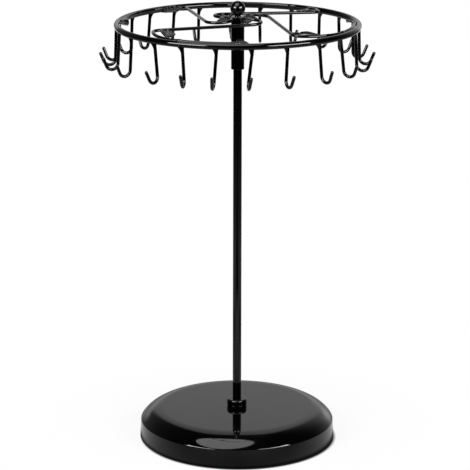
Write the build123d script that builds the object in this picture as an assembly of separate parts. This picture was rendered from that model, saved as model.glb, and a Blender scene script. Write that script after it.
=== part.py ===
"""Rotating stand: a weighted round base, a thin pole and a wire wheel of hooks that turns on the pole.

Millimetres, +Z up, origin on the floor under the pole, front towards -Y.
"""
import math
import os

from build123d import *

# Base: a spun cover over a steel weight, with a foam pad underneath
BASE_DIA = 160.0
RIM_HEIGHT = 15.1
RIM_FLARE = 0.8
RIM_GAP = 0.3
SHOULDER_IN = 18.5
SHOULDER_RISE = 9.9
DOME_RISE = 0.4
SHEET = 1.2
PAD_MARGIN = 3.8
PAD_THICK = 1.5
TOP_Z = RIM_HEIGHT + SHOULDER_RISE + DOME_RISE

# Pole, and the stud and nut that hold it to the base
POLE_DIA = 7.0
POLE_WALL = 1.0
STUD_GRIP = 22.0
STUD_PLAY = 0.25
STUD_END_GAP = 0.4
NUT_ACROSS = 8.0
NUT_HEIGHT = 4.0
NUT_ROOM = 0.8
WASHER_DIA = 15.0
WASHER_THICK = 1.0
WELL_MARGIN = 2.0
WELL_ROOF = 1.8
COLLAR_DIA = 16.2
COLLAR_HEIGHT = 6.0
COLLAR_EDGE = 0.8
STUD_DIA = POLE_DIA - 2 * POLE_WALL
STUD_HOLE = STUD_DIA + 2 * STUD_PLAY
NUT_Z = PAD_THICK + NUT_ROOM
WASHER_Z = NUT_Z + NUT_HEIGHT
WELL_TOP = WASHER_Z + WASHER_THICK

# Wheel rim
RING_Z = 343.4
RING_DIA = 191.2
RING_WIRE = 5.0
RING_R = RING_DIA / 2

# Hub: a sleeve on two bushes, hung on a ball at the top of the pole
SLEEVE_DIA = 10.6
SLEEVE_WALL = 1.0
SLEEVE_LENGTH = 42.0
SLEEVE_ABOVE_RING = 6.5
RUNNING_GAP = 0.05
BUSH_LENGTH = 10.0
BUSH_INSET = 0.6
BUSH_TOP_GAP = 1.5
THRUST_BALL_DIA = 5.0
THRUST_GAP = 0.02
SEAT_DEPTH = 1.5
PLUG_HEAD = 2.0
PLUG_STEM = 8.0
CAP_PLUG = 4.0
CAP_NECK_DIA = 5.0
CAP_NECK = 4.2
FINIAL_DIA = 12.0
FINIAL_GAP = 0.6
SLEEVE_BORE = SLEEVE_DIA - 2 * SLEEVE_WALL
SLEEVE_TOP = RING_Z + SLEEVE_ABOVE_RING
SLEEVE_BOTTOM = SLEEVE_TOP - SLEEVE_LENGTH
CAP_Z = SLEEVE_TOP - CAP_PLUG
THRUST_Z = CAP_Z - THRUST_GAP - THRUST_BALL_DIA / 2
SEAT_Z = THRUST_Z - THRUST_BALL_DIA / 2 + SEAT_DEPTH
POLE_TOP = SEAT_Z - PLUG_HEAD

# Hooks, each with a weld fillet drawn out to one side where it meets the rim
HOOK_PHASE = 9.0
HOOK_DRIFT = 3.4
HOOK_DRIFT_SIDE = 139.0
HOOK_WIRE = 2.6
HOOK_OUTSET = 0.3
HOOK_DROP = 31.6
HOOK_BEND = 4.8
HOOK_LEAN = 2.0
HOOK_SLANT = 22.0
HOOK_TIP = 7.8
FILLET_BELOW = 1.25
FILLET_LENGTH = 6.6
FILLET_WIDTH = 3.2
FILLET_HEIGHT = 5.0
FILLET_SIDE = 0.4

# Each hook as set by hand, in degrees: shift round the rim, sideways lean, and twist about its stem
HOOK_SET = (
    (0.0, -7, 0), (0.0, -4, 5), (0.5, 4, 2), (-1.0, 8, 5), (0.0, 4, 0), (1.0, 4, -15), (0.0, 3, 0), (-0.5, 0, -5),
    (-2.0, 3, 0), (-0.5, 1, 0), (0.5, -1, 10), (-1.5, -3, 15), (1.0, 0, 0), (-0.5, 3, 0), (0.0, 4, -5), (0.0, 0, 5),
    (1.5, 5, 10), (0.0, 0, 0), (-1.5, -6, 0), (-1.5, -2, 0), (0.0, 8, 0), (-0.5, 4, 15), (0.0, -4, 0),
)
HOOK_COUNT = len(HOOK_SET)

# Vine scrolls, each in a plane that falls from the hub to the rim
VINE_COUNT = 4
VINE_WIRE = 2.6
VINE_HUB_RISE = 5.0
VINE_TAIL_RISE = 1.5
VINE_LOW_SIDE = 252.0
CURL_X = 8.0
CURL_Y = -15.0
CURL_PAST = 8.0
BAR_FROM_RIM = 35.6
BAR_SLOPE = 13.2
BEND_R = 7.0
BEND_TURN = 80.0
TAIL_ARC = 30.0
WELD_GAP = 0.06
WELD_BEAD = 1.3
WELD_INSET = 3.0

# Leaves of pressed sheet on stalks, their places as shares along the curve that carries them
LEAF_SHEET = 1.0
WIDTH_SHARE = 0.76
WIDEST_AT = 0.34
RIB_R = 0.85
RIB_SHARE = 0.93
VEIN_R = 0.55
VEIN_RUN = 0.8
VEINS = ((0.22, 0.99), (0.46, 0.71))
MID_LEAF_LENGTH = 15.5
MID_LEAF_STALK = 7.6
MID_LEAF_TURN = -90.0
MID_LEAF_ROLL = -16.0
MID_LEAF_AT = 0.915
TAIL_LEAF_LENGTH = 10.5
TAIL_LEAF_STALK = 0.4
TAIL_LEAF_TURN = 30.0
TAIL_LEAF_ROLL = 12.0
INNER_LEAF_LENGTH = 11.0
INNER_LEAF_STALK = 3.0
INNER_LEAF_TURN = -120.0
INNER_LEAF_ROLL = -15.0
INNER_LEAF_AT = 0.23


def tube(outer, inner, z0, z1):
    """Upright tube, or a rod when inner is zero."""
    part = Pos(0, 0, z0) * extrude(Circle(outer / 2), z1 - z0)
    if inner > 0:
        part -= Pos(0, 0, z0) * extrude(Circle(inner / 2), z1 - z0)
    return part


def ball(dia, z):
    """Ball on the axis."""
    return Pos(0, 0, z) * Sphere(dia / 2)


def arc(centre, radius, start, end):
    """Arc about centre from one angle to another, in radians."""
    turns = (start, (start + end) / 2, end)
    spots = [(centre[0] + radius * math.cos(a), centre[1] + radius * math.sin(a)) for a in turns]
    return ThreePointArc(*spots)


def dome(inset, foot_z):
    """Solid of the base's outside drawn in by inset: flared rim, round shoulder and near-flat crown."""
    crease = BASE_DIA / 2 - RIM_FLARE - inset
    edge = BASE_DIA / 2 - RIM_FLARE - SHOULDER_IN
    edge_z = RIM_HEIGHT + SHOULDER_RISE - inset
    top = TOP_Z - inset
    radius = (edge ** 2 + DOME_RISE ** 2) / (2 * DOME_RISE)
    fall = math.asin(edge / radius)
    flare = RIM_FLARE * (RIM_HEIGHT - foot_z) / RIM_HEIGHT
    outline = arc((0, top - radius), radius, math.pi / 2, math.pi / 2 - fall)
    shoulder = (math.cos(fall), -math.sin(fall))
    outline += TangentArc((edge, edge_z), (crease, RIM_HEIGHT), tangent=shoulder)
    outline += Polyline((crease, RIM_HEIGHT), (crease + flare, foot_z), (0, foot_z), (0, top))
    return revolve(Plane.XZ * make_face(outline), Axis.Z)


def base_cover():
    """Spun sheet cover, open underneath, with a hole for the stud."""
    return dome(0, RIM_GAP) - dome(SHEET, RIM_GAP) - tube(STUD_HOLE, 0, RIM_GAP, TOP_Z)


def base_ballast():
    """Steel weight wedged in the taper of the rim, with a well for the nut."""
    top = WELL_TOP + WELL_ROOF
    weight = dome(SHEET, PAD_THICK) & tube(BASE_DIA, 0, PAD_THICK, top)
    weight -= tube(STUD_HOLE, 0, PAD_THICK, top)
    return weight - tube(WASHER_DIA + 2 * WELL_MARGIN, 0, PAD_THICK, WELL_TOP)


def foot_collar():
    """Round ferrule at the foot of the pole, its underside shaped to the crown."""
    part = tube(COLLAR_DIA, POLE_DIA, TOP_Z - DOME_RISE, TOP_Z + COLLAR_HEIGHT)
    rim = part.edges().group_by(Axis.Z)[-1].sort_by(SortBy.RADIUS)[-1]
    return fillet(rim, COLLAR_EDGE) - dome(0, RIM_GAP)


def clamp_nut():
    """Hexagon nut on the stud."""
    nut = extrude(RegularPolygon(NUT_ACROSS / 2, 6, major_radius=False), NUT_HEIGHT)
    return Pos(0, 0, NUT_Z) * nut - tube(STUD_DIA, 0, NUT_Z, WASHER_Z)


def pole_plug():
    """Plug in the top of the pole, with a round seat for the ball."""
    plug = tube(POLE_DIA, 0, POLE_TOP, SEAT_Z) + tube(STUD_DIA, 0, POLE_TOP - PLUG_STEM, POLE_TOP)
    return plug - ball(THRUST_BALL_DIA, THRUST_Z)


def sleeve_cap():
    """Plug that closes the sleeve, with the neck that carries the finial."""
    plug = tube(SLEEVE_BORE, 0, CAP_Z, SLEEVE_TOP)
    return plug + tube(CAP_NECK_DIA, 0, SLEEVE_TOP, SLEEVE_TOP + CAP_NECK)


def ring():
    """Round wire rim of the wheel."""
    return Pos(0, 0, RING_Z) * Torus(RING_R, RING_WIRE / 2)


def hook():
    """One hook on +X: straight stem, round bend and slanted tip, with a weld that reaches into the rim."""
    lean = math.radians(HOOK_LEAN)
    slant = math.radians(HOOK_SLANT)
    r0 = RING_R + HOOK_OUTSET
    bend_z = RING_Z - HOOK_DROP + HOOK_BEND
    r1 = r0 + (RING_Z - bend_z) * math.tan(lean)
    centre = (r1 + HOOK_BEND * math.cos(lean), bend_z + HOOK_BEND * math.sin(lean))
    stem = Line((r0, RING_Z), (r1, bend_z))
    bend = arc(centre, HOOK_BEND, math.pi + lean, 2 * math.pi - slant)
    toe = bend @ 1
    tip = Line(toe, (toe.X + HOOK_TIP * math.sin(slant), toe.Y + HOOK_TIP * math.cos(slant)))
    path = Plane.XZ * (stem + bend + tip)
    wire = sweep(Plane(path @ 0, z_dir=path % 0) * Circle(HOOK_WIRE / 2), path)
    drop = FILLET_BELOW + FILLET_HEIGHT
    root = Pos(r0, HOOK_WIRE / 2 + FILLET_SIDE - FILLET_LENGTH / 2, RING_Z - FILLET_BELOW)
    end = Pos(r0 + drop * math.tan(lean), 0, RING_Z - drop)
    weld = loft([root * Ellipse(FILLET_WIDTH / 2, FILLET_LENGTH / 2), end * Circle(HOOK_WIRE / 2)])
    return wire + weld


def set_hook(plain, k):
    """Hook k in its place, coped to the rim: an even share that drifts once round, and its own shift and set."""
    shift, lean, twist = HOOK_SET[k]
    share = HOOK_PHASE + 360 * k / HOOK_COUNT
    turn = share - 90 + HOOK_DRIFT * math.cos(math.radians(share - HOOK_DRIFT_SIDE)) + shift
    root = Pos(RING_R + HOOK_OUTSET, 0, RING_Z)
    bent = root * Rot(lean, 0, 0) * Rot(0, 0, twist) * root.inverse() * plain
    return Rot(0, 0, turn) * (bent - ring())


def vine_plane():
    """Plane of one scroll: high at the hub, falling to the rim where the tail runs."""
    fall = (VINE_HUB_RISE - VINE_TAIL_RISE) / RING_R
    dx = fall * math.cos(math.radians(VINE_LOW_SIDE))
    dy = fall * math.sin(math.radians(VINE_LOW_SIDE))
    return Plane((0, 0, RING_Z + VINE_HUB_RISE), x_dir=(1, 0, -dx), z_dir=(dx, dy, 1))


def vine_path():
    """Centreline of one scroll in its plane: hub curl, straight bar, outer bend, run-in and rim tail.

    The run-in is the arc that leaves the bend in line and meets the tail's circle in line.
    Also gives the points that carry the mid, tail and inner leaves, and the weld places.
    """
    wires = (RING_WIRE + VINE_WIRE) / 2 + WELD_GAP
    tail_r = RING_R - math.sqrt(wires ** 2 - VINE_TAIL_RISE ** 2)
    curl_r = math.hypot(CURL_X, CURL_Y) - (SLEEVE_DIA + VINE_WIRE) / 2 - WELD_GAP
    inward = math.atan2(-CURL_Y, -CURL_X)
    slope = math.radians(BAR_SLOPE)
    curl = arc((CURL_X, CURL_Y), curl_r, inward + math.radians(CURL_PAST), slope - math.pi / 2)
    foot = curl @ 1
    far_x = BAR_FROM_RIM - RING_R
    bar = Line(foot, (far_x, foot.Y + (far_x - foot.X) * math.tan(slope)))
    far = bar @ 1
    turned = slope + math.pi / 2 + math.radians(BEND_TURN)
    bend_c = (far.X + BEND_R * math.sin(slope), far.Y - BEND_R * math.cos(slope))
    bend = arc(bend_c, BEND_R, slope + math.pi / 2, turned)
    leave = bend @ 1
    nx, ny = -math.cos(turned), -math.sin(turned)
    room = tail_r ** 2 - leave.X ** 2 - leave.Y ** 2
    run_r = room / (2 * (leave.X * nx + leave.Y * ny + tail_r))
    run_c = (leave.X + run_r * nx, leave.Y + run_r * ny)
    join = math.atan2(run_c[1], run_c[0]) + 2 * math.pi
    run = arc(run_c, run_r, turned, join)
    end = join + math.radians(TAIL_ARC)
    tail = arc((0, 0), tail_r, join, end)
    inset = WELD_INSET / tail_r
    touch = tail_r + VINE_WIRE / 2
    welds = [(touch * math.cos(a), touch * math.sin(a)) for a in (join + inset, end - inset)]
    welds.append((-SLEEVE_DIA / 2 * math.cos(inward), -SLEEVE_DIA / 2 * math.sin(inward)))
    return curl + bar + bend + run + tail, (bar @ MID_LEAF_AT, tail @ 1, curl @ INNER_LEAF_AT), welds


def vine(path, welds):
    """Round wire along the scroll, with a weld bead at each place where it is fixed."""
    line = vine_plane() * path
    wire = sweep(Plane(line @ 0, z_dir=line % 0) * Circle(VINE_WIRE / 2), line)
    for spot in welds:
        wire += vine_plane() * Pos(*spot) * Sphere(WELD_BEAD)
    return wire - ring() - tube(SLEEVE_DIA, 0, SLEEVE_BOTTOM, SLEEVE_TOP + VINE_WIRE)


def leaf(length, stalk, turn, roll, spot):
    """Pressed leaf on its stalk: pointed blade, midrib and pairs of side veins, set at spot on a scroll."""
    half = WIDTH_SHARE * length / 2
    upper = Spline((0, 0), (length * WIDEST_AT, half), (length, 0), tangents=((0.25, 1), (1, -0.42)))
    blade = extrude(make_face(upper + mirror(upper, Plane.XZ)), LEAF_SHEET / 2, both=True)
    blade += Plane((-stalk, 0, 0), z_dir=(1, 0, 0)) * extrude(Circle(RIB_R), stalk + RIB_SHARE * length)
    for start, reach in VEINS:
        for side in (1, -1):
            root = Plane((length * start, 0, RIB_R - VEIN_R), z_dir=(VEIN_RUN, side, 0))
            blade += root * extrude(Circle(VEIN_R), reach * half)
    place = vine_plane() * Pos(spot.X, spot.Y) * Rot(0, 0, turn)
    return place * Pos(stalk, 0) * Rot(roll, 0, 0) * blade


def save(name, part):
    """Writes a piece, which has to be one solid."""
    (solid,) = part.solids()
    export_step(solid, f"parts/{name}.step")


os.makedirs("parts", exist_ok=True)

# Standing pieces
save("base_cover", base_cover())
save("base_ballast", base_ballast())
save("base_pad", tube(BASE_DIA - 2 * (SHEET + PAD_MARGIN), 0, 0, PAD_THICK))
save("foot_collar", foot_collar())
save("pole", tube(POLE_DIA, STUD_DIA, TOP_Z, POLE_TOP))
save("pole_stud", tube(STUD_DIA, 0, PAD_THICK + STUD_END_GAP, TOP_Z + STUD_GRIP))
save("clamp_washer", tube(WASHER_DIA, STUD_DIA, WASHER_Z, WELL_TOP))
save("clamp_nut", clamp_nut())
save("pole_plug", pole_plug())
save("thrust_ball", ball(THRUST_BALL_DIA, THRUST_Z))

# Turning hub and rim
low_bush = SLEEVE_BOTTOM + BUSH_INSET
high_bush = POLE_TOP - BUSH_TOP_GAP - BUSH_LENGTH
bush_bore = POLE_DIA + 2 * RUNNING_GAP
save("hub_sleeve", tube(SLEEVE_DIA, SLEEVE_BORE, SLEEVE_BOTTOM, SLEEVE_TOP))
save("lower_bush", tube(SLEEVE_BORE, bush_bore, low_bush, low_bush + BUSH_LENGTH))
save("upper_bush", tube(SLEEVE_BORE, bush_bore, high_bush, high_bush + BUSH_LENGTH))
save("sleeve_cap", sleeve_cap())
save("finial_ball", ball(FINIAL_DIA, SLEEVE_TOP + FINIAL_GAP + FINIAL_DIA / 2) - sleeve_cap())
save("hook_ring", ring())

# Hooks round the rim, the first just right of the front
one_hook = hook()
for k in range(HOOK_COUNT):
    save(f"hook_{k + 1:02d}", set_hook(one_hook, k))

# Scrolls and their leaves, all alike, one after another round the hub
path, (mid_at, tail_at, inner_at), welds = vine_path()
one_vine = vine(path, welds)
along_rim = math.degrees(math.atan2(tail_at.Y, tail_at.X)) + 90
mid_leaf = leaf(MID_LEAF_LENGTH, MID_LEAF_STALK, MID_LEAF_TURN, MID_LEAF_ROLL, mid_at)
tail_leaf = leaf(TAIL_LEAF_LENGTH, TAIL_LEAF_STALK, along_rim + TAIL_LEAF_TURN, TAIL_LEAF_ROLL, tail_at)
inner_leaf = leaf(INNER_LEAF_LENGTH, INNER_LEAF_STALK, INNER_LEAF_TURN, INNER_LEAF_ROLL, inner_at)
pieces = {
    "vine": one_vine,
    "mid_leaf": mid_leaf - one_vine,
    "tail_leaf": tail_leaf - one_vine - ring(),
    "inner_leaf": inner_leaf - one_vine,
}
for name, piece in pieces.items():
    for k in range(VINE_COUNT):
        save(f"{name}_{k + 1}", Rot(0, 0, 360 * k / VINE_COUNT) * piece)
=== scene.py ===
import math

import bmesh
import bpy
import numpy as np
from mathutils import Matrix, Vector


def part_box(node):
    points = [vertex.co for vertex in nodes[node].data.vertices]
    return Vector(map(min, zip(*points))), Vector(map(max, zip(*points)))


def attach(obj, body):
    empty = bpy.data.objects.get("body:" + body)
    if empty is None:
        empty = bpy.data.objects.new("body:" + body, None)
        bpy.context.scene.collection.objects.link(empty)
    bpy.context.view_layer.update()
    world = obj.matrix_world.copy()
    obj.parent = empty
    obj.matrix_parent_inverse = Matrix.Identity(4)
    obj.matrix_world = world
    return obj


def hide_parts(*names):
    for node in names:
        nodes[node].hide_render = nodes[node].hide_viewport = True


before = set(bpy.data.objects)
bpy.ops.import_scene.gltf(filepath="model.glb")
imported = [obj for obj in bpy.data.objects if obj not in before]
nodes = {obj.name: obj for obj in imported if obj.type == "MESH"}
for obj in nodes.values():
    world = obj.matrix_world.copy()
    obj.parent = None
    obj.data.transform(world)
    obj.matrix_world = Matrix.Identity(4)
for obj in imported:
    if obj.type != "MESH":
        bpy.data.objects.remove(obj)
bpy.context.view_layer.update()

MM = 0.001
scene = bpy.context.scene
scene.view_settings.view_transform = "Standard"


# Base cover: spun from thin sheet steel, with a near-flat top, a round shoulder, a crisp crease and
# a band that flares a little to the floor. It is sprayed with black enamel that flows to a mirror.
BASE_LOW, BASE_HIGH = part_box("base_cover")
BASE_R = BASE_HIGH.x
BAND_TOP = 15.1 * MM
BAND_FLARE = 0.8 * MM
SHOULDER_IN = 18.5 * MM
CROWN_EDGE_R = BASE_R - BAND_FLARE - SHOULDER_IN
CROWN_RISE = 0.4 * MM
COVER_SHEET = 1.2 * MM
STUD_HOLE_R = 2.75 * MM
CREASE_EASE = 0.25 * MM
HEM_EASE = 0.5 * MM


def skin(name, grid, wrap, weld=None):
    """Quads between neighbours in an n by m grid of points, closed along each index that wrap marks.

    Points that coincide, as at a pole, are merged, and the faces are turned outwards. Weld says from
    0 to 1 how much of the enamel's ripple over a weld each point gets.
    """
    n, m = grid.shape[:2]
    rows, columns = n - 1 + wrap[0], m - 1 + wrap[1]
    i, j = np.meshgrid(np.arange(rows), np.arange(columns), indexing="ij")
    i2, j2 = (i + 1) % n, (j + 1) % m
    faces = np.stack([i * m + j, i2 * m + j, i2 * m + j2, i * m + j2], -1).reshape(-1, 4)
    mesh = bpy.data.meshes.new(name)
    mesh.from_pydata(grid.reshape(-1, 3).tolist(), [], faces.tolist())
    if weld is not None:
        lumps = mesh.attributes.new("weld", "FLOAT", "POINT")
        lumps.data.foreach_set("value", np.broadcast_to(weld, (n, m)).astype(np.float32).ravel())
    bm = bmesh.new()
    bm.from_mesh(mesh)
    bmesh.ops.remove_doubles(bm, verts=bm.verts, dist=1e-7)
    bmesh.ops.recalc_face_normals(bm, faces=bm.faces)
    bm.to_mesh(mesh)
    bm.free()
    mesh.shade_smooth()
    piece = bpy.data.objects.new(name, mesh)
    scene.collection.objects.link(piece)
    return piece


def lathe(outline, turns):
    """Outline (r, z) turned about the pole: x = r cos t, y = r sin t."""
    t = np.linspace(0, 2 * np.pi, turns, endpoint=False)[:, None]
    r, z = np.asarray(outline).T
    return np.stack([r * np.cos(t), r * np.sin(t), z + 0 * t], -1)


def eased(corners, ease, steps=7):
    """Corners of an open outline softened: each inner corner b between a and c gives way to the parabola
    (1 - t)^2 p + 2 t (1 - t) b + t^2 q, where p and q lie on its two sides, ease away from it."""
    corners = np.asarray(corners, float)
    a, b, c = corners[:-2], corners[1:-1], corners[2:]
    ease = np.broadcast_to(ease, len(b))[:, None]
    p = b + ease * (a - b) / np.linalg.norm(a - b, axis=1, keepdims=True)
    q = b + ease * (c - b) / np.linalg.norm(c - b, axis=1, keepdims=True)
    t = np.linspace(0, 1, steps)[None, :, None]
    curves = (1 - t) ** 2 * p[:, None] + 2 * t * (1 - t) * b[:, None] + t ** 2 * q[:, None]
    return np.concatenate([corners[:1], curves.reshape(-1, 2), corners[-1:]])


def cover_side(inset):
    """Crown and shoulder of the cover drawn in by inset, as (r, z) from the stud hole to the crease.

    The crown is a flat arc, z = top - r^2 / 2R, and the shoulder an arc that leaves it in line.
    """
    crease = np.array([BASE_R - BAND_FLARE - inset, BAND_TOP])
    top = BASE_HIGH.z - inset
    crown_r = CROWN_EDGE_R ** 2 / (2 * CROWN_RISE)
    fall = CROWN_EDGE_R / crown_r
    r = np.linspace(STUD_HOLE_R, CROWN_EDGE_R, 16)
    crown = np.stack([r, top - r ** 2 / (2 * crown_r)], 1)
    chord = crease - crown[-1]
    shoulder_r = chord @ chord / (2 * chord @ np.array([-math.sin(fall), -math.cos(fall)]))
    turn = 2 * math.asin(np.linalg.norm(chord) / (2 * shoulder_r))
    a = fall + np.linspace(0, 1, 48)[1:] * turn
    shoulder = crown[-1] + shoulder_r * np.stack([np.sin(a) - math.sin(fall), np.cos(a) - math.cos(fall)], 1)
    return np.concatenate([crown, shoulder])


outside = cover_side(0)
inside = cover_side(COVER_SHEET)
hem = BASE_LOW.z
band = [outside[-2], outside[-1], (BASE_R, hem), (BASE_R - COVER_SHEET, hem), inside[-1]]
band = eased(band, (CREASE_EASE, HEM_EASE, HEM_EASE))
cover_outline = np.concatenate([outside[:-2], band, inside[::-1]])
base_shell = skin("base_shell", lathe(cover_outline, turns=256), (True, True))
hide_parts("base_cover")
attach(base_shell, "stand")


# Sprayed enamel, as a film: slow waves where it has flowed, a fine orange peel, and roughness that
# drifts with its thickness. The base and all the wire share it, each with its own gloss, and on the
# wire it also ripples over the welds.
FLOW_WAVES = 42
PEEL_SHARE = 0.35
WELD_RIPPLES = 520
RIPPLE_SHARE = 9
THIN_BLACK = (0.0005, 0.0005, 0.0006)
THICK_BLACK = (0.0012, 0.0012, 0.0014)
ENAMEL_IOR = 1.5


def material(name):
    """A new material with its Principled shader, and the place on the piece that patterns read."""
    made = bpy.data.materials.new(name)
    made.use_nodes = True
    tree = made.node_tree
    shader = tree.nodes["Principled BSDF"]
    place = tree.nodes.new("ShaderNodeTexCoord").outputs["Object"]
    return made, tree, shader, place


def group(name, inputs, outputs):
    """An empty shader node group with float inputs and outputs, and a vector named Place as first input."""
    tree = bpy.data.node_groups.new(name, "ShaderNodeTree")
    tree.interface.new_socket("Place", in_out="INPUT", socket_type="NodeSocketVector")
    for socket in inputs:
        tree.interface.new_socket(socket, in_out="INPUT", socket_type="NodeSocketFloat")
    for socket in outputs:
        tree.interface.new_socket(socket, in_out="OUTPUT", socket_type="NodeSocketFloat")
    return tree, tree.nodes.new("NodeGroupInput").outputs, tree.nodes.new("NodeGroupOutput").inputs


def feed(tree, value, socket):
    """Links a node's output to a socket, or sets the socket to a plain number."""
    if isinstance(value, bpy.types.NodeSocket):
        tree.links.new(value, socket)
    else:
        socket.default_value = value


def noise(tree, place, scale, detail=2.0):
    """A noise pattern with so many bumps to the metre."""
    node = tree.nodes.new("ShaderNodeTexNoise")
    feed(tree, scale, node.inputs["Scale"])
    feed(tree, detail, node.inputs["Detail"])
    feed(tree, place, node.inputs["Vector"])
    return node.outputs["Fac"]


def spread(tree, value, low, high, start=0.3, end=0.7):
    """A pattern stretched so that start to end becomes low to high."""
    node = tree.nodes.new("ShaderNodeMapRange")
    for socket, number in zip(("From Min", "From Max", "To Min", "To Max"), (start, end, low, high)):
        feed(tree, number, node.inputs[socket])
    feed(tree, value, node.inputs["Value"])
    return node.outputs["Result"]


def maths(tree, kind, *values):
    """One step of arithmetic on sockets or numbers."""
    node = tree.nodes.new("ShaderNodeMath")
    node.operation = kind
    for socket, value in zip(node.inputs, values):
        feed(tree, value, socket)
    return node.outputs[0]


def tint(tree, value, dark, pale):
    """Colours from dark to pale as a pattern goes from 0 to 1."""
    node = tree.nodes.new("ShaderNodeValToRGB")
    node.color_ramp.elements[0].color = (*dark, 1)
    node.color_ramp.elements[1].color = (*pale, 1)
    feed(tree, value, node.inputs["Fac"])
    return node.outputs["Color"]


def use(tree, pattern, place, **values):
    """A node group placed in a material with its own values."""
    node = tree.nodes.new("ShaderNodeGroup")
    node.node_tree = pattern
    feed(tree, place, node.inputs["Place"])
    for socket, value in values.items():
        feed(tree, value, node.inputs[socket])
    return node.outputs


def bump(tree, shader, height, distance):
    """Relief of a shader's surface, distance deep in metres."""
    node = tree.nodes.new("ShaderNodeBump")
    feed(tree, distance, node.inputs["Distance"])
    feed(tree, height, node.inputs["Height"])
    feed(tree, node.outputs["Normal"], shader.inputs["Normal"])


film, film_in, film_out = group("enamel_film", ("Gloss", "Drift", "Peel"),
                                ("Roughness", "Height", "Thickness"))
flow = noise(film, film_in["Place"], FLOW_WAVES, detail=3)
peel = noise(film, film_in["Place"], film_in["Peel"])
thick_gloss = maths(film, "ADD", film_in["Gloss"], film_in["Drift"])
peel_height = maths(film, "MULTIPLY", peel, PEEL_SHARE)
feed(film, spread(film, flow, film_in["Gloss"], thick_gloss), film_out["Roughness"])
feed(film, maths(film, "ADD", peel_height, flow), film_out["Height"])
feed(film, spread(film, flow, 0, 1), film_out["Thickness"])


def enamel(name, gloss, drift, peel, relief, lumpy=False):
    """Black enamel: near-black body under a clear reflecting skin, with lumps where the steel was welded."""
    made, tree, shader, place = material(name)
    coat = use(tree, film, place, Gloss=gloss, Drift=drift, Peel=peel)
    feed(tree, tint(tree, coat["Thickness"], THIN_BLACK, THICK_BLACK), shader.inputs["Base Color"])
    feed(tree, coat["Roughness"], shader.inputs["Roughness"])
    height = coat["Height"]
    if lumpy:
        weld = tree.nodes.new("ShaderNodeAttribute")
        weld.attribute_name = "weld"
        ripples = maths(tree, "MULTIPLY", noise(tree, place, WELD_RIPPLES), weld.outputs["Fac"])
        height = maths(tree, "ADD", height, maths(tree, "MULTIPLY", ripples, RIPPLE_SHARE))
    bump(tree, shader, height, relief)
    shader.inputs["IOR"].default_value = ENAMEL_IOR
    return made


def finish_with(made, *pieces):
    """Gives pieces or CAD nodes one material."""
    for piece in pieces:
        piece.data.materials.clear()
        piece.data.materials.append(made)


finish_with(enamel("base_enamel", gloss=0.04, drift=0.03, peel=700, relief=0.002 * MM), base_shell)


# Weight: a cast steel disc wedged in the taper of the cover, left raw from the foundry, with a well
# turned in its underside for the nut.
CAST_GRAIN = 900
CAST_STAINS = 70
CAST_DARK = (0.045, 0.042, 0.040)
CAST_PALE = (0.16, 0.15, 0.145)
CAST_ROUGH = (0.5, 0.8)
CAST_RELIEF = 0.2 * MM
cast_steel, tree, shader, place = material("cast_steel")
grain = noise(tree, place, CAST_GRAIN, detail=6)
stains = noise(tree, place, CAST_STAINS, detail=4)
feed(tree, tint(tree, stains, CAST_DARK, CAST_PALE), shader.inputs["Base Color"])
feed(tree, spread(tree, grain, *CAST_ROUGH), shader.inputs["Roughness"])
shader.inputs["Metallic"].default_value = 0.85
bump(tree, shader, grain, CAST_RELIEF)
finish_with(cast_steel, nodes["base_ballast"])


# Foot pad: a disc of closed-cell foam stuck under the weight, with its cut edge a little crushed,
# so the stand doesn't slide or scratch.
PAD_LOW, PAD_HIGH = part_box("base_pad")
PAD_R = PAD_HIGH.x
PAD_EASE = 0.45 * MM
FOAM_CELLS = 1600
FOAM_STAINS = 120
FOAM_DARK = (0.010, 0.010, 0.010)
FOAM_PALE = (0.026, 0.026, 0.027)
FOAM_ROUGH = (0.82, 0.97)
FOAM_RELIEF = 0.25 * MM
pad_outline = [(0, PAD_LOW.z), (PAD_R, PAD_LOW.z), (PAD_R, PAD_HIGH.z), (0, PAD_HIGH.z)]
foam_foot = skin("foam_foot", lathe(eased(pad_outline, PAD_EASE), turns=192), (True, False))
foam, tree, shader, place = material("closed_cell_foam")
cells = tree.nodes.new("ShaderNodeTexVoronoi")
cells.inputs["Scale"].default_value = FOAM_CELLS
feed(tree, place, cells.inputs["Vector"])
cell_depth = cells.outputs["Distance"]
stains = noise(tree, place, FOAM_STAINS, detail=3)
feed(tree, tint(tree, stains, FOAM_DARK, FOAM_PALE), shader.inputs["Base Color"])
feed(tree, spread(tree, cell_depth, *FOAM_ROUGH, start=0, end=0.6), shader.inputs["Roughness"])
bump(tree, shader, cell_depth, FOAM_RELIEF)
finish_with(foam, foam_foot)
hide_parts("base_pad")
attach(foam_foot, "stand")


# Stud, washer and nut: bright zinc on steel, hidden in the well. The stud's thread is rolled, with a
# pitch of 0.8 mm.
THREAD_PITCH = 0.8 * MM
THREAD_RELIEF = 0.4 * MM
ZINC_CRYSTALS = 260
ZINC_DARK = (0.42, 0.43, 0.45)
ZINC_PALE = (0.66, 0.67, 0.68)
ZINC_ROUGH = (0.22, 0.42)
ZINC_RELIEF = 0.04 * MM
CRYSTAL_SHARE = 0.1


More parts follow.
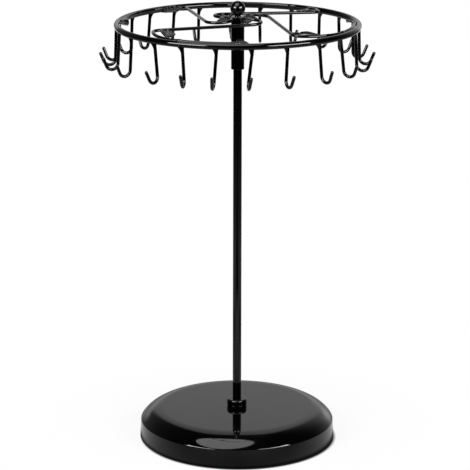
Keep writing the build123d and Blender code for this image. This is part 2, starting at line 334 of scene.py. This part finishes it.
def zinc(name, pitch=None):
    """Zinc plate with faint crystals, and a thread as bands along the pole where a pitch is given.

    A wave pattern of scale s repeats every 2 pi / (20 s).
    """
    made, tree, shader, place = material(name)
    crystals = noise(tree, place, ZINC_CRYSTALS, detail=5)
    feed(tree, tint(tree, crystals, ZINC_DARK, ZINC_PALE), shader.inputs["Base Color"])
    feed(tree, spread(tree, crystals, *ZINC_ROUGH), shader.inputs["Roughness"])
    shader.inputs["Metallic"].default_value = 1.0
    height = crystals
    if pitch:
        turns = tree.nodes.new("ShaderNodeTexWave")
        turns.bands_direction = "Z"
        turns.inputs["Scale"].default_value = 2 * math.pi / (20 * pitch)
        feed(tree, place, turns.inputs["Vector"])
        height = maths(tree, "ADD", turns.outputs["Fac"], maths(tree, "MULTIPLY", crystals, CRYSTAL_SHARE))
    bump(tree, shader, height, THREAD_RELIEF if pitch else ZINC_RELIEF)
    return made


finish_with(zinc("zinc_plate"), nodes["clamp_washer"], nodes["clamp_nut"])
finish_with(zinc("zinc_thread", THREAD_PITCH), nodes["pole_stud"])


# Pole and foot collar: drawn steel tube with a turned ferrule at its foot, rounded at both ends, both
# sprayed with the same black enamel as the wheel.
POLE_LOW, POLE_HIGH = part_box("pole")
POLE_R = POLE_HIGH.x
POLE_BORE_R = POLE_R - 1.0 * MM
POLE_EASE = 0.2 * MM
COLLAR_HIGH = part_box("foot_collar")[1]
COLLAR_R = COLLAR_HIGH.x
COLLAR_FOOT = BASE_HIGH.z - COLLAR_R ** 2 * CROWN_RISE / CROWN_EDGE_R ** 2
COLLAR_EASE = 1.6 * MM


def tube_side(bore, radius, low, high, ease):
    """Outline (r, z) of a tube's wall, closed on itself: a rectangle with its edges broken, and with two
    more corners on its outer side that hold the wall straight between the ends."""
    held = 5 * ease
    outer = [(radius, low), (radius, low + held), (radius, high - held), (radius, high)]
    middle = (bore, (low + high) / 2)
    return eased([middle, (bore, low), *outer, (bore, high), middle], ease)


pole_side = tube_side(POLE_BORE_R, POLE_R, POLE_LOW.z, POLE_HIGH.z, POLE_EASE)
pole_tube = skin("pole_tube", lathe(pole_side, turns=96), (True, True))
under = ((COLLAR_R + POLE_R) / 2, COLLAR_FOOT)
collar_outer = [(COLLAR_R, COLLAR_FOOT), (COLLAR_R, COLLAR_HIGH.z)]
collar_inner = [(POLE_R, COLLAR_HIGH.z), (POLE_R, BASE_HIGH.z)]
collar_eases = (COLLAR_EASE, COLLAR_EASE, POLE_EASE, POLE_EASE)
collar_side = eased([under, *collar_outer, *collar_inner, under], collar_eases, steps=9)
pole_ferrule = skin("pole_ferrule", lathe(collar_side, turns=128), (True, True))
for piece, node in ((pole_tube, "pole"), (pole_ferrule, "foot_collar")):
    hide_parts(node)
    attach(piece, "stand")
pole_enamel = enamel("pole_enamel", gloss=0.04, drift=0.03, peel=1100, relief=0.004 * MM)
finish_with(pole_enamel, pole_tube, pole_ferrule)


# Bearing: a moulded nylon plug in the top of the pole, a polished ball on it, and two nylon bushes
# pressed into the sleeve.
NYLON_CLOUD = 180
NYLON_DARK = (0.74, 0.72, 0.66)
NYLON_PALE = (0.86, 0.85, 0.81)
NYLON_ROUGH = (0.38, 0.52)
NYLON_MILK = 0.25
NYLON_DEPTHS = (0.002, 0.002, 0.0015)
NYLON_GRAIN = 1500
NYLON_RELIEF = 0.03 * MM
BALL_LAPPING = 2400
BALL_DARK = (0.58, 0.585, 0.60)
BALL_PALE = (0.70, 0.70, 0.71)
BALL_ROUGH = (0.04, 0.12)
nylon, tree, shader, place = material("natural_nylon")
cloud = noise(tree, place, NYLON_CLOUD, detail=3)
feed(tree, tint(tree, cloud, NYLON_DARK, NYLON_PALE), shader.inputs["Base Color"])
feed(tree, spread(tree, cloud, *NYLON_ROUGH), shader.inputs["Roughness"])
shader.inputs["Subsurface Weight"].default_value = NYLON_MILK
shader.inputs["Subsurface Radius"].default_value = NYLON_DEPTHS
bump(tree, shader, noise(tree, place, NYLON_GRAIN), NYLON_RELIEF)
finish_with(nylon, nodes["pole_plug"], nodes["lower_bush"], nodes["upper_bush"])
ball_steel, tree, shader, place = material("ball_steel")
lapping = noise(tree, place, BALL_LAPPING, detail=4)
feed(tree, tint(tree, lapping, BALL_DARK, BALL_PALE), shader.inputs["Base Color"])
feed(tree, spread(tree, lapping, *BALL_ROUGH), shader.inputs["Roughness"])
shader.inputs["Metallic"].default_value = 1.0
finish_with(ball_steel, nodes["thrust_ball"])


# Hub: a steel sleeve with broken edges that turns on the pole, closed by a plug, with a turned ball
# on a short neck as finial.
SLEEVE_LOW, SLEEVE_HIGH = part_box("hub_sleeve")
SLEEVE_R = SLEEVE_HIGH.x
SLEEVE_BORE_R = SLEEVE_R - 1.0 * MM
SLEEVE_EASE = 0.3 * MM
BALL_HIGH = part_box("finial_ball")[1]
BALL_R = BALL_HIGH.x
NECK_R = 2.5 * MM
NECK_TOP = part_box("sleeve_cap")[1].z
sleeve_side = tube_side(SLEEVE_BORE_R, SLEEVE_R, SLEEVE_LOW.z, SLEEVE_HIGH.z, SLEEVE_EASE)
hub_tube = skin("hub_tube", lathe(sleeve_side, turns=96), (True, True))
down = np.linspace(0, math.pi - math.asin(NECK_R / BALL_R), 40)
ball_side = np.stack([BALL_R * np.sin(down), BALL_HIGH.z - BALL_R + BALL_R * np.cos(down)], 1)
ball_side = np.concatenate([ball_side, [(NECK_R, NECK_TOP), (0, NECK_TOP)]])
finial = skin("finial", lathe(ball_side, turns=96), (True, False))
for piece, node in ((hub_tube, "hub_sleeve"), (finial, "finial_ball")):
    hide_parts(node)
    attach(piece, "carousel")
wheel_enamel = enamel("wheel_enamel", gloss=0.05, drift=0.04, peel=1300, relief=0.004 * MM, lumpy=True)
finish_with(wheel_enamel, hub_tube, finial, nodes["sleeve_cap"])


# Rim: one round of heavy steel wire, bent to a ring and butt-welded shut. It is carried by the tails
# of the scrolls, which are tacked along its inner side.
RIM_LOW, RIM_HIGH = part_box("hook_ring")
RIM_Z = (RIM_LOW.z + RIM_HIGH.z) / 2
RIM_WIRE_R = 2.5 * MM
RIM_R = RIM_HIGH.x - RIM_WIRE_R
RIM_SIDES = 28
around = np.linspace(0, 2 * np.pi, RIM_SIDES, endpoint=False)
rim_section = np.stack([RIM_R + RIM_WIRE_R * np.cos(around), RIM_Z + RIM_WIRE_R * np.sin(around)], 1)
rim_wire = skin("rim_wire", lathe(rim_section, turns=320), (True, True))
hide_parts("hook_ring")
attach(rim_wire, "carousel")
finish_with(wheel_enamel, rim_wire)


# Hooks: short wires bent to a J, their cut tips rounded by the enamel, and welded under the rim with
# the weld drawn out to one side, so the stem flares into a web. They are set by hand: each has its
# own shift round the rim, sideways lean and twist, in degrees.
HOOK_PHASE = math.radians(9)
HOOK_DRIFT = math.radians(3.4)
DRIFT_SIDE = math.radians(139)
HOOK_WIRE_R = 1.3 * MM
HOOK_OUTSET = 0.3 * MM
HOOK_DROP = 31.6 * MM
HOOK_BEND_R = 4.8 * MM
HOOK_LEAN = math.radians(2)
HOOK_SLANT = math.radians(22)
HOOK_TIP = 7.8 * MM
HOOK_STEP = 0.6 * MM
HOOK_SIDES = 24
WEB_REACH = 4.4 * MM
WEB_DEPTH = 7.0 * MM
WEB_FADE = 1.7
WEB_NARROW = 3
HOOK_SET = (
    (0.0, -7, 0), (0.0, -4, 5), (0.5, 4, 2), (-1.0, 8, 5), (0.0, 4, 0), (1.0, 4, -15),
    (0.0, 3, 0), (-0.5, 0, -5), (-2.0, 3, 0), (-0.5, 1, 0), (0.5, -1, 10), (-1.5, -3, 15),
    (1.0, 0, 0), (-0.5, 3, 0), (0.0, 4, -5), (0.0, 0, 5), (1.5, 5, 10), (0.0, 0, 0),
    (-1.5, -6, 0), (-1.5, -2, 0), (0.0, 8, 0), (-0.5, 4, 15), (0.0, -4, 0),
)


def bow(centre, radius, start, end, steps=40):
    """Arc in a plane: centre + radius (cos a, sin a) as a goes from start to end."""
    a = np.linspace(start, end, steps)
    return np.asarray(centre) + radius * np.stack([np.cos(a), np.sin(a)], 1)


def measured(route, along):
    """Points at the lengths along, in metres, on a route of straight runs and sampled arcs, and the
    route's whole length."""
    lengths = np.concatenate([[0], np.cumsum(np.linalg.norm(np.diff(route, axis=0), axis=1))])
    return np.stack([np.interp(along, lengths, axis) for axis in route.T], 1), lengths[-1]


def round_wire(route, radius, step):
    """Centres and radii of a wire along a flat route: even steps, with both ends closed as half balls,
    where the radius is r sqrt(1 - (1 - d / r)^2) at a distance d from the end."""
    total = measured(route, [0])[1]
    close = radius * (1 - np.cos(np.linspace(0, math.pi / 2, 9)))
    even = np.arange(radius + step, total - radius - step / 2, step)
    along = np.concatenate([close, even, total - close[::-1]])
    d = np.minimum(np.minimum(along, total - along), radius)
    return measured(route, along)[0], radius * np.sqrt(1 - (1 - d / radius) ** 2), along


def carried(centres, radii, side, sides):
    """Round section carried along a flat path: centre + r (cos f out + sin f side), where side is square
    to the path's plane and out lies in it. Radii may differ round the section."""
    tangent = np.gradient(centres, axis=0)
    tangent /= np.linalg.norm(tangent, axis=1, keepdims=True)
    out = np.cross(side, tangent)
    f = np.linspace(0, 2 * np.pi, sides, endpoint=False)[:, None]
    return centres + (radii * np.cos(f))[..., None] * out + (radii * np.sin(f))[..., None] * np.asarray(side)


def turned(grid, angle):
    """Points turned about the pole."""
    c, s = math.cos(angle), math.sin(angle)
    return grid @ np.array([[c, s, 0], [-s, c, 0], [0, 0, 1]])


def swayed(grid, angle):
    """Points turned about the X axis."""
    c, s = math.cos(angle), math.sin(angle)
    return grid @ np.array([[1, 0, 0], [0, c, s], [0, -s, c]])


stem_top = np.array([RIM_R + HOOK_OUTSET, RIM_Z])
bend_z = RIM_Z - HOOK_DROP + HOOK_BEND_R
stem_foot = np.array([stem_top[0] + (RIM_Z - bend_z) * math.tan(HOOK_LEAN), bend_z])
bend_centre = stem_foot + HOOK_BEND_R * np.array([math.cos(HOOK_LEAN), math.sin(HOOK_LEAN)])
bend = bow(bend_centre, HOOK_BEND_R, math.pi + HOOK_LEAN, 2 * math.pi - HOOK_SLANT)
tip = bend[-1] + HOOK_TIP * np.array([math.sin(HOOK_SLANT), math.cos(HOOK_SLANT)])
hook_line = np.concatenate([[stem_top], bend, [tip]])
hook_line = np.stack([hook_line[:, 0], 0 * hook_line[:, 0], hook_line[:, 1]], 1)
centres, radii, along = round_wire(hook_line, HOOK_WIRE_R, HOOK_STEP)
f = np.linspace(0, 2 * np.pi, HOOK_SIDES, endpoint=False)[:, None]
fade = np.clip(1 - along / WEB_DEPTH, 0, 1)
web = WEB_REACH * fade ** WEB_FADE * np.clip(-np.sin(f), 0, 1) ** WEB_NARROW
hook_grid = carried(centres, radii + web * radii / HOOK_WIRE_R, (0, 1, 0), HOOK_SIDES)
hook_root = np.array([stem_top[0], 0, stem_top[1]])
for k, (shift, sway, twist) in enumerate(np.radians(HOOK_SET)):
    share = HOOK_PHASE + 2 * math.pi * k / len(HOOK_SET)
    stand_at = share - math.pi / 2 + HOOK_DRIFT * math.cos(share - DRIFT_SIDE) + shift
    bent = swayed(turned(hook_grid - hook_root, twist), sway) + hook_root
    hook = skin(f"hook_wire_{k + 1:02d}", turned(bent, stand_at), (True, False), np.sqrt(fade))
    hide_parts(f"hook_{k + 1:02d}")
    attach(hook, "carousel")
    finish_with(wheel_enamel, hook)


# Scrolls: four alike, each one wire bent flat from a curl at the hub through a straight bar and a
# tight bend to a tail along the rim, tilted so it falls to the rim, and tacked with a bead at each end.
SCROLLS = 4
SCROLL_WIRE_R = 1.3 * MM
SCROLL_STEP = 0.9 * MM
SCROLL_SIDES = 20
HUB_RISE = 5.0 * MM
TAIL_RISE = 1.5 * MM
LOW_SIDE = math.radians(252)
CURL_CENTRE = np.array([8.0, -15.0]) * MM
CURL_PAST = math.radians(8)
BAR_FROM_RIM = 35.6 * MM
BAR_SLOPE = math.radians(13.2)
SCROLL_BEND_R = 7.0 * MM
SCROLL_TURN = math.radians(80)
TAIL_ARC = math.radians(30)
WELD_GAP = 0.06 * MM
WELD_INSET = 3.0 * MM
BEAD_LENGTH = 1.6 * MM
HUB_BEAD_LENGTH = 3 * BEAD_LENGTH
BEAD_SWELL = 0.25

wires = RIM_WIRE_R + SCROLL_WIRE_R + WELD_GAP
tail_r = RIM_R - math.sqrt(wires ** 2 - TAIL_RISE ** 2)
curl_r = np.linalg.norm(CURL_CENTRE) - SLEEVE_R - SCROLL_WIRE_R - WELD_GAP
inward = math.atan2(-CURL_CENTRE[1], -CURL_CENTRE[0])
curl_start, curl_end = inward + CURL_PAST, BAR_SLOPE - math.pi / 2
curl = bow(CURL_CENTRE, curl_r, curl_start, curl_end, steps=90)
far_x = BAR_FROM_RIM - RIM_R
far = np.array([far_x, curl[-1, 1] + (far_x - curl[-1, 0]) * math.tan(BAR_SLOPE)])
bend_start = BAR_SLOPE + math.pi / 2
bend_end = bend_start + SCROLL_TURN
bend_centre = far + SCROLL_BEND_R * np.array([math.sin(BAR_SLOPE), -math.cos(BAR_SLOPE)])
outer_bend = bow(bend_centre, SCROLL_BEND_R, bend_start, bend_end)
leave = outer_bend[-1]
square = -np.array([math.cos(bend_end), math.sin(bend_end)])
run_r = (tail_r ** 2 - leave @ leave) / (2 * (leave @ square + tail_r))
run_centre = leave + run_r * square
join = math.atan2(run_centre[1], run_centre[0]) + 2 * math.pi
run_in = bow(run_centre, run_r, bend_end, join, steps=60)
tail = bow((0, 0), tail_r, join, join + TAIL_ARC, steps=60)

fall = (HUB_RISE - TAIL_RISE) / RIM_R
tilt = np.array([fall * math.cos(LOW_SIDE), fall * math.sin(LOW_SIDE), 1])
tilt /= np.linalg.norm(tilt)
flat_x = np.array([tilt[2], 0, -tilt[0]]) / math.hypot(tilt[0], tilt[2])
flat_y = np.cross(tilt, flat_x)


def on_scroll(flat):
    """Points (x, y) or (x, y, height) of a scroll's own plane, put in their place on the wheel."""
    placed = np.array([0, 0, RIM_Z + HUB_RISE]) + flat[..., :1] * flat_x + flat[..., 1:2] * flat_y
    return placed + flat[..., 2:3] * tilt if flat.shape[-1] > 2 else placed


scroll_line = on_scroll(np.concatenate([curl, outer_bend, run_in[1:], tail[1:]]))
centres, radii, along = round_wire(scroll_line, SCROLL_WIRE_R, SCROLL_STEP)
length = along[-1]
tail_start = length - tail_r * TAIL_ARC
spots = np.array([tail_start + WELD_INSET, length - WELD_INSET])[:, None]
beads = np.exp(-((along - spots) / BEAD_LENGTH) ** 2).sum(0) + np.exp(-(along / HUB_BEAD_LENGTH) ** 2)
scroll_grid = carried(centres, radii * (1 + BEAD_SWELL * beads), tilt, SCROLL_SIDES)
scroll_weld = np.clip(beads, 0, 1)
for k in range(SCROLLS):
    placed = turned(scroll_grid, 2 * math.pi * k / SCROLLS)
    scroll = skin(f"scroll_{k + 1}", placed, (True, False), scroll_weld)
    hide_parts(f"vine_{k + 1}")
    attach(scroll, "carousel")
    finish_with(wheel_enamel, scroll)


# Leaves: pressed from thin sheet with a raised midrib, side veins and edge, dished, and soldered to
# the scrolls by their stalks, one on each bar, at each tail and in each curl. Each kind has its node,
# length, stalk, heading, roll and place on the scroll.
LEAF_SHEET = 1.0 * MM
LEAF_WIDTH = 0.76
LEAF_DISH = 0.9 * MM
LEAF_DROOP = 1.2 * MM
LEAF_SIDES = 48
STALK_STEPS, BLADE_STEPS = 12, 70
ROOT_CROWDING = 1.3
STALK_R = 0.85 * MM
END_RINGS = 3
ROOT_POWER, TIP_POWER = 0.5, 0.9
OVAL_POWER = 0.6
STALK_FADE, TIP_FADE, RIB_FADE, VEIN_FADE = 5, 6, 4, 6
RIB_HEIGHT, RIB_WIDTH = 0.55 * MM, 0.6 * MM
VEIN_PAIRS = 3
VEIN_HEIGHT, VEIN_WIDTH = 0.40 * MM, 0.45 * MM
VEIN_FIRST, VEIN_SPAN = 0.12, 0.62
VEIN_RUN, VEIN_SQUARE = 0.9, 0.74
EDGE_HEIGHT, EDGE_WIDTH = 0.50 * MM, 0.42 * MM
EDGE_INSET = 0.6 * MM
EDGE_FROM = 2.0 * MM
BAR_LEAF_AT = 0.085
CURL_LEAF_AT = 0.23
tail_heading = math.atan2(tail[-1, 1], tail[-1, 0]) + math.pi / 2
on_bar = far + BAR_LEAF_AT * (curl[-1] - far)
curl_turn = curl_start + CURL_LEAF_AT * (curl_end - curl_start)
on_curl = bow(CURL_CENTRE, curl_r, curl_turn, curl_turn, steps=1)[0]
LEAVES = {
    "bar_leaf": ("mid_leaf", 15.5 * MM, 7.6 * MM, math.radians(-90), math.radians(-16), on_bar),
    "rim_leaf": ("tail_leaf", 10.5 * MM, 0.4 * MM, tail_heading + math.radians(30), math.radians(12),
                 tail[-1]),
    "curl_leaf": ("inner_leaf", 11.0 * MM, 3.0 * MM, math.radians(-120), math.radians(-15), on_curl),
}


def fading(value, rate):
    """A value times rate, held between 0 and 1."""
    return np.clip(value * rate, 0, 1)


def pressed_leaf(length, stalk):
    """Leaf along +X from the end of its stalk, as a closed section carried from stalk to tip.

    The half width is that of the stalk, then w u^0.5 (1 - u)^0.9 along the blade. The section is a flat
    oval, dished towards its edges. Its upper side rises by h exp(-(d / s)^2), where d is the distance to
    the midrib, to the nearest side vein or to a line a little inside the edge, whichever is highest.
    """
    stalk_x = np.linspace(-stalk - STALK_R, 0, STALK_STEPS)[:-1]
    x = np.concatenate([stalk_x, length * np.linspace(0, 1, BLADE_STEPS) ** ROOT_CROWDING])
    u = np.clip(x / length, 0, 1)
    widest = LEAF_WIDTH * length / 2
    blade = widest * u ** ROOT_POWER * (1 - u) ** TIP_POWER / 0.5 ** (ROOT_POWER + TIP_POWER)
    half = np.maximum(blade, STALK_R * fading(1 - u, TIP_FADE))
    ring = np.arange(len(x))
    closing = np.sqrt(np.clip(1 - ((ring - END_RINGS) / END_RINGS) ** 2, 0, 1))
    half = np.where(ring < END_RINGS, half * closing, half)
    sheet = LEAF_SHEET / 2 + (STALK_R - LEAF_SHEET / 2) * (1 - fading(u, STALK_FADE))
    sheet = sheet * fading(half, 1 / STALK_R)
    f = np.linspace(0, 2 * np.pi, LEAF_SIDES, endpoint=False)[:, None]
    y = half * np.cos(f)
    oval = np.sign(np.sin(f)) * np.abs(np.sin(f)) ** OVAL_POWER
    outward = fading(np.abs(y), 1 / widest)
    dish = LEAF_DISH * outward ** 2 - LEAF_DROOP * u ** 2
    rib = RIB_HEIGHT * np.exp(-(y / RIB_WIDTH) ** 2) * fading(1 - u, RIB_FADE)
    starts = length * (VEIN_FIRST + VEIN_SPAN * np.arange(VEIN_PAIRS) / VEIN_PAIRS)
    from_vein = (x - starts[:, None, None] - VEIN_RUN * np.abs(y)) * VEIN_SQUARE
    veins = (VEIN_HEIGHT * np.exp(-(from_vein / VEIN_WIDTH) ** 2)).max(0) * fading(outward, VEIN_FADE)
    from_edge = half - np.abs(y) - EDGE_INSET
    edge = EDGE_HEIGHT * np.exp(-(from_edge / EDGE_WIDTH) ** 2) * fading(blade, 1 / EDGE_FROM)
    raised = np.where(np.sin(f) > 0, np.maximum(np.maximum(rib, veins), edge), 0) * (u > 0)
    return np.stack([x + 0 * y, y, sheet * oval + dish + raised], -1)


for name, (node, leaf_length, stalk, heading, roll, spot) in LEAVES.items():
    rolled = swayed(pressed_leaf(leaf_length, stalk), roll)
    flat = turned(rolled + np.array([stalk, 0, 0]), heading)
    leaf_grid = on_scroll(flat + np.array([*spot, 0]))
    for k in range(SCROLLS):
        placed = turned(leaf_grid, 2 * math.pi * k / SCROLLS)
        leaf = skin(f"{name}_{k + 1}", placed, (True, False))
        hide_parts(f"{node}_{k + 1}")
        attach(leaf, "carousel")
        finish_with(wheel_enamel, leaf)


# Floor: a wide pale table top, its faces turned up, and see-through from below. Near the stand it
# shows a painted shadow, a dark line under the hem with a soft edge set a little to the front and
# right, the soft shadow the lamps cast, and further out an even white. The metal mirrors it with
# painted light and shade: brighter or darker by where the studio's light falls, darker at the hem.
FLOOR_R = 8.0
FLOOR_Z = -0.05 * MM
TABLE_GREY = 0.08
TABLE_GLOW = 0.89
SHADOW_R = (0.09, 0.20)
# Painted shadow on the floor: a ring round the hem, set a little to the front and right, dark inside and
# gone outside.
PAINTED_SHADOW_R = (0.0785, 0.0812)
PAINTED_SHADOW_SHIFT = (0.0011, -0.0028, 0)
PAINTED_SHADOW_DARK = 0.01
# Painted shade on the table as the metal mirrors it, darker close to the hem.
PAINTED_HEM_SHADE_R = (0.081, 0.087)
PAINTED_HEM_SHADE = 0.05
# Painted light and shade on the table as the metal mirrors it: glow levels from front to back, across it,
# and on its two flanks.
TABLE_LEVELS = ((-0.60, 0.02), (-0.43, 0.03), (-0.33, 0.45), (-0.20, 0.40), (-0.11, 0.23),
                (-0.085, 0.21), (-0.03, 0.52), (0.02, 0.75), (0.06, 0.45), (0.15, 0.22), (0.50, 0.45),
                (1.50, 1.0), (3.0, 1.0))
TABLE_SIDES = ((0, 0.85), (0.035, 1.15), (0.20, 1), (0.32, 0.25), (0.60, 0.05), (3.0, 0.03))
STRIP_SPREAD = 0.40
TABLE_FLANKS = ((0, 0), (0.28, 0), (0.38, 0.42), (0.52, 0.42), (0.72, 0.20), (1.1, 0.07), (1.5, 0),
                (3.0, 0))
FLANKS_FROM = ((0, 0), (0.12, 0), (0.30, 0.8), (0.45, 1), (3.0, 1))
floor_line = [(0, FLOOR_Z), (SHADOW_R[1], FLOOR_Z), (FLOOR_R, FLOOR_Z)]
floor = skin("floor", lathe(floor_line, turns=64), (True, False))
floor.data.flip_normals()
table, tree, shader, place = material("pale_table")
tree.nodes.remove(shader)
ray = tree.nodes.new("ShaderNodeLightPath").outputs


def ramp(tree, value, stops):
    """A curve through stops (place, level), for a value that runs from the first stop to the last."""
    low, high = stops[0][0], stops[-1][0]
    node = tree.nodes.new("ShaderNodeValToRGB")
    feed(tree, spread(tree, value, 0, 1, low, high), node.inputs["Fac"])
    node.color_ramp.elements.remove(node.color_ramp.elements[1])
    for k, (where, level) in enumerate(stops):
        share = (where - low) / (high - low)
        stop = node.color_ramp.elements[0] if k == 0 else node.color_ramp.elements.new(share)
        stop.position = share
        stop.color = (level, level, level, 1)
    return node.outputs["Color"]


def shine(tree, strength):
    """White light given off by a surface."""
    node = tree.nodes.new("ShaderNodeEmission")
    feed(tree, strength, node.inputs["Strength"])
    return node.outputs[0]


def blend(tree, share, first, second):
    """The first shader where share is 0, the second where it is 1."""
    node = tree.nodes.new("ShaderNodeMixShader")
    for socket, value in zip(node.inputs, (share, first, second)):
        feed(tree, value, socket)
    return node.outputs[0]


def away_from(tree, place, point):
    """Distance of a place from a point."""
    node = tree.nodes.new("ShaderNodeVectorMath")
    node.operation = "DISTANCE"
    node.inputs[1].default_value = point
    feed(tree, place, node.inputs[0])
    return node.outputs["Value"]


far_out = away_from(tree, place, (0, 0, 0))
# Painted shadow: the floor's colour and its glow are darkened in the shifted ring round the hem.
painted_shadow = spread(tree, away_from(tree, place, PAINTED_SHADOW_SHIFT), PAINTED_SHADOW_DARK, 1, *PAINTED_SHADOW_R)
paper = tree.nodes.new("ShaderNodeBsdfDiffuse")
feed(tree, maths(tree, "MULTIPLY", painted_shadow, TABLE_GREY), paper.inputs["Color"])
glow = maths(tree, "MULTIPLY", ray["Is Camera Ray"], TABLE_GLOW)
lit = tree.nodes.new("ShaderNodeAddShader")
feed(tree, paper.outputs[0], lit.inputs[0])
feed(tree, shine(tree, maths(tree, "MULTIPLY", glow, painted_shadow)), lit.inputs[1])
fade_out = maths(tree, "MULTIPLY", spread(tree, far_out, 0, 1, *SHADOW_R), ray["Is Camera Ray"])
near_view = blend(tree, fade_out, lit.outputs[0], shine(tree, 1))
across = tree.nodes.new("ShaderNodeSeparateXYZ")
feed(tree, place, across.inputs[0])
beside = maths(tree, "ABSOLUTE", across.outputs["X"])
strip = maths(tree, "MULTIPLY", maths(tree, "MAXIMUM", across.outputs["Y"], 0), STRIP_SPREAD)
sideways = ramp(tree, maths(tree, "SUBTRACT", beside, strip), TABLE_SIDES)
# Painted shade: the table that the metal mirrors darkens close to the hem.
painted_hem_shade = spread(tree, far_out, PAINTED_HEM_SHADE, 1, *PAINTED_HEM_SHADE_R)
flanks = maths(tree, "MULTIPLY", ramp(tree, far_out, TABLE_FLANKS), ramp(tree, beside, FLANKS_FROM))
front_to_back = maths(tree, "MULTIPLY", ramp(tree, across.outputs["Y"], TABLE_LEVELS), painted_hem_shade)
# Painted light and shade: the table's glow as mirrored rays see it.
painted_light_in_metal = maths(tree, "MAXIMUM", maths(tree, "MULTIPLY", front_to_back, sideways), flanks)
mirrored = maths(tree, "MAXIMUM", ray["Is Glossy Ray"], ray["Is Transmission Ray"])
from_above = blend(tree, mirrored, near_view, shine(tree, painted_light_in_metal))
from_below = tree.nodes.new("ShaderNodeNewGeometry").outputs["Backfacing"]
see_through = tree.nodes.new("ShaderNodeBsdfTransparent").outputs[0]
table_top = blend(tree, from_below, from_above, see_through)
feed(tree, table_top, tree.nodes["Material Output"].inputs["Surface"])
finish_with(table, floor)


# Light: soft boxes to the left and right of the camera and one overhead, in a dark room with a pale
# wall behind the stand, dimmer walls beside it, and a weaker strip low on the wall. Levels go by the
# bearing in degrees from straight behind, and by the sine of the angle above the horizon.
LIT_POINT = np.array([0, 0, 0.15])
WALL_LEVELS = ((-180, 0), (-22, 0), (-15, 0.50), (0, 0.55), (14, 0.62), (24, 0), (180, 0))
WALL_HEIGHTS = ((0, 0.15), (0.05, 0.2), (0.10, 0.4), (0.22, 0.4), (0.30, 1), (0.82, 1.15), (0.86, 0.06),
                (1, 0.04))
SIDE_LEVELS = ((-180, 0.01), (-90, 0.015), (-70, 0.08), (-40, 0.13), (-22, 0.14), (-15, 0), (14, 0),
               (24, 0.60), (30, 0.58), (42, 0.30), (55, 0.14), (72, 0.02), (90, 0.01), (180, 0.01))
SIDE_HEIGHTS = ((0, 1.3), (0.30, 1), (0.50, 0.55), (0.64, 0.33), (0.77, 0.14), (0.86, 0.04), (1, 0.04))
LOW_LEVELS = ((-180, 0), (-36, 0), (-26, 0.48), (26, 0.48), (36, 0), (180, 0))
LOW_HEIGHTS = ((0, 0.1), (0.05, 0.2), (0.10, 1), (0.22, 1), (0.30, 0), (1, 0))


def softbox(name, shape, place, size, radiance):
    """A lamp that faces the stand: its power is pi times radiance times its area."""
    lamp = bpy.data.lights.new(name, "AREA")
    lamp.shape = shape
    lamp.size, lamp.size_y = size
    area = size[0] * size[1] * (math.pi / 4 if shape == "ELLIPSE" else 1)
    lamp.energy = math.pi * radiance * area
    holder = bpy.data.objects.new(name, lamp)
    holder.location = place
    holder.rotation_euler = Vector(np.asarray(place) - LIT_POINT).to_track_quat("Z", "Y").to_euler()
    scene.collection.objects.link(holder)


softbox("left_box", "RECTANGLE", place=(-0.731, -0.682, 0.68), size=(0.66, 0.33), radiance=15)
softbox("right_box", "RECTANGLE", place=(0.743, -0.669, 0.68), size=(0.74, 0.33), radiance=15)
softbox("top_box", "ELLIPSE", place=(-0.26, -0.40, 1.48), size=(1.25, 1.33), radiance=2.7)

world = bpy.data.worlds.new("studio")
scene.world = world
world.use_nodes = True
tree = world.node_tree
room = tree.nodes["Background"]
direction = tree.nodes.new("ShaderNodeSeparateXYZ")
feed(tree, tree.nodes.new("ShaderNodeTexCoord").outputs["Generated"], direction.inputs[0])
bearing = maths(tree, "ARCTAN2", direction.outputs["X"], direction.outputs["Y"])
bearing = maths(tree, "DEGREES", bearing)
height = direction.outputs["Z"]
wall = maths(tree, "MULTIPLY", ramp(tree, bearing, WALL_LEVELS), ramp(tree, height, WALL_HEIGHTS))
sides = maths(tree, "MULTIPLY", ramp(tree, bearing, SIDE_LEVELS), ramp(tree, height, SIDE_HEIGHTS))
low = maths(tree, "MULTIPLY", ramp(tree, bearing, LOW_LEVELS), ramp(tree, height, LOW_HEIGHTS))
around_stand = maths(tree, "ADD", maths(tree, "ADD", wall, sides), low)
camera_ray = tree.nodes.new("ShaderNodeLightPath").outputs["Is Camera Ray"]
feed(tree, maths(tree, "MAXIMUM", around_stand, camera_ray), room.inputs["Strength"])
room.inputs["Color"].default_value = (1, 1, 1, 1)


# Camera: where the photograph's stood, in front of the stand and above its wheel, with a long lens,
# looking down on it.
CAMERA_AT = (-0.00183, -1.7899, 0.6585)
CAMERA_DOWN = math.radians(15.234)
CAMERA_ROLL = math.radians(0.115)
camera = bpy.data.cameras.new("camera")
camera.lens = 175.3
camera.sensor_width = 36
viewer = bpy.data.objects.new("camera", camera)
viewer.location = CAMERA_AT
look_down = Matrix.Rotation(math.pi / 2 - CAMERA_DOWN, 3, "X")
viewer.rotation_euler = (look_down @ Matrix.Rotation(CAMERA_ROLL, 3, "Z")).to_euler()
scene.collection.objects.link(viewer)
scene.camera = viewer
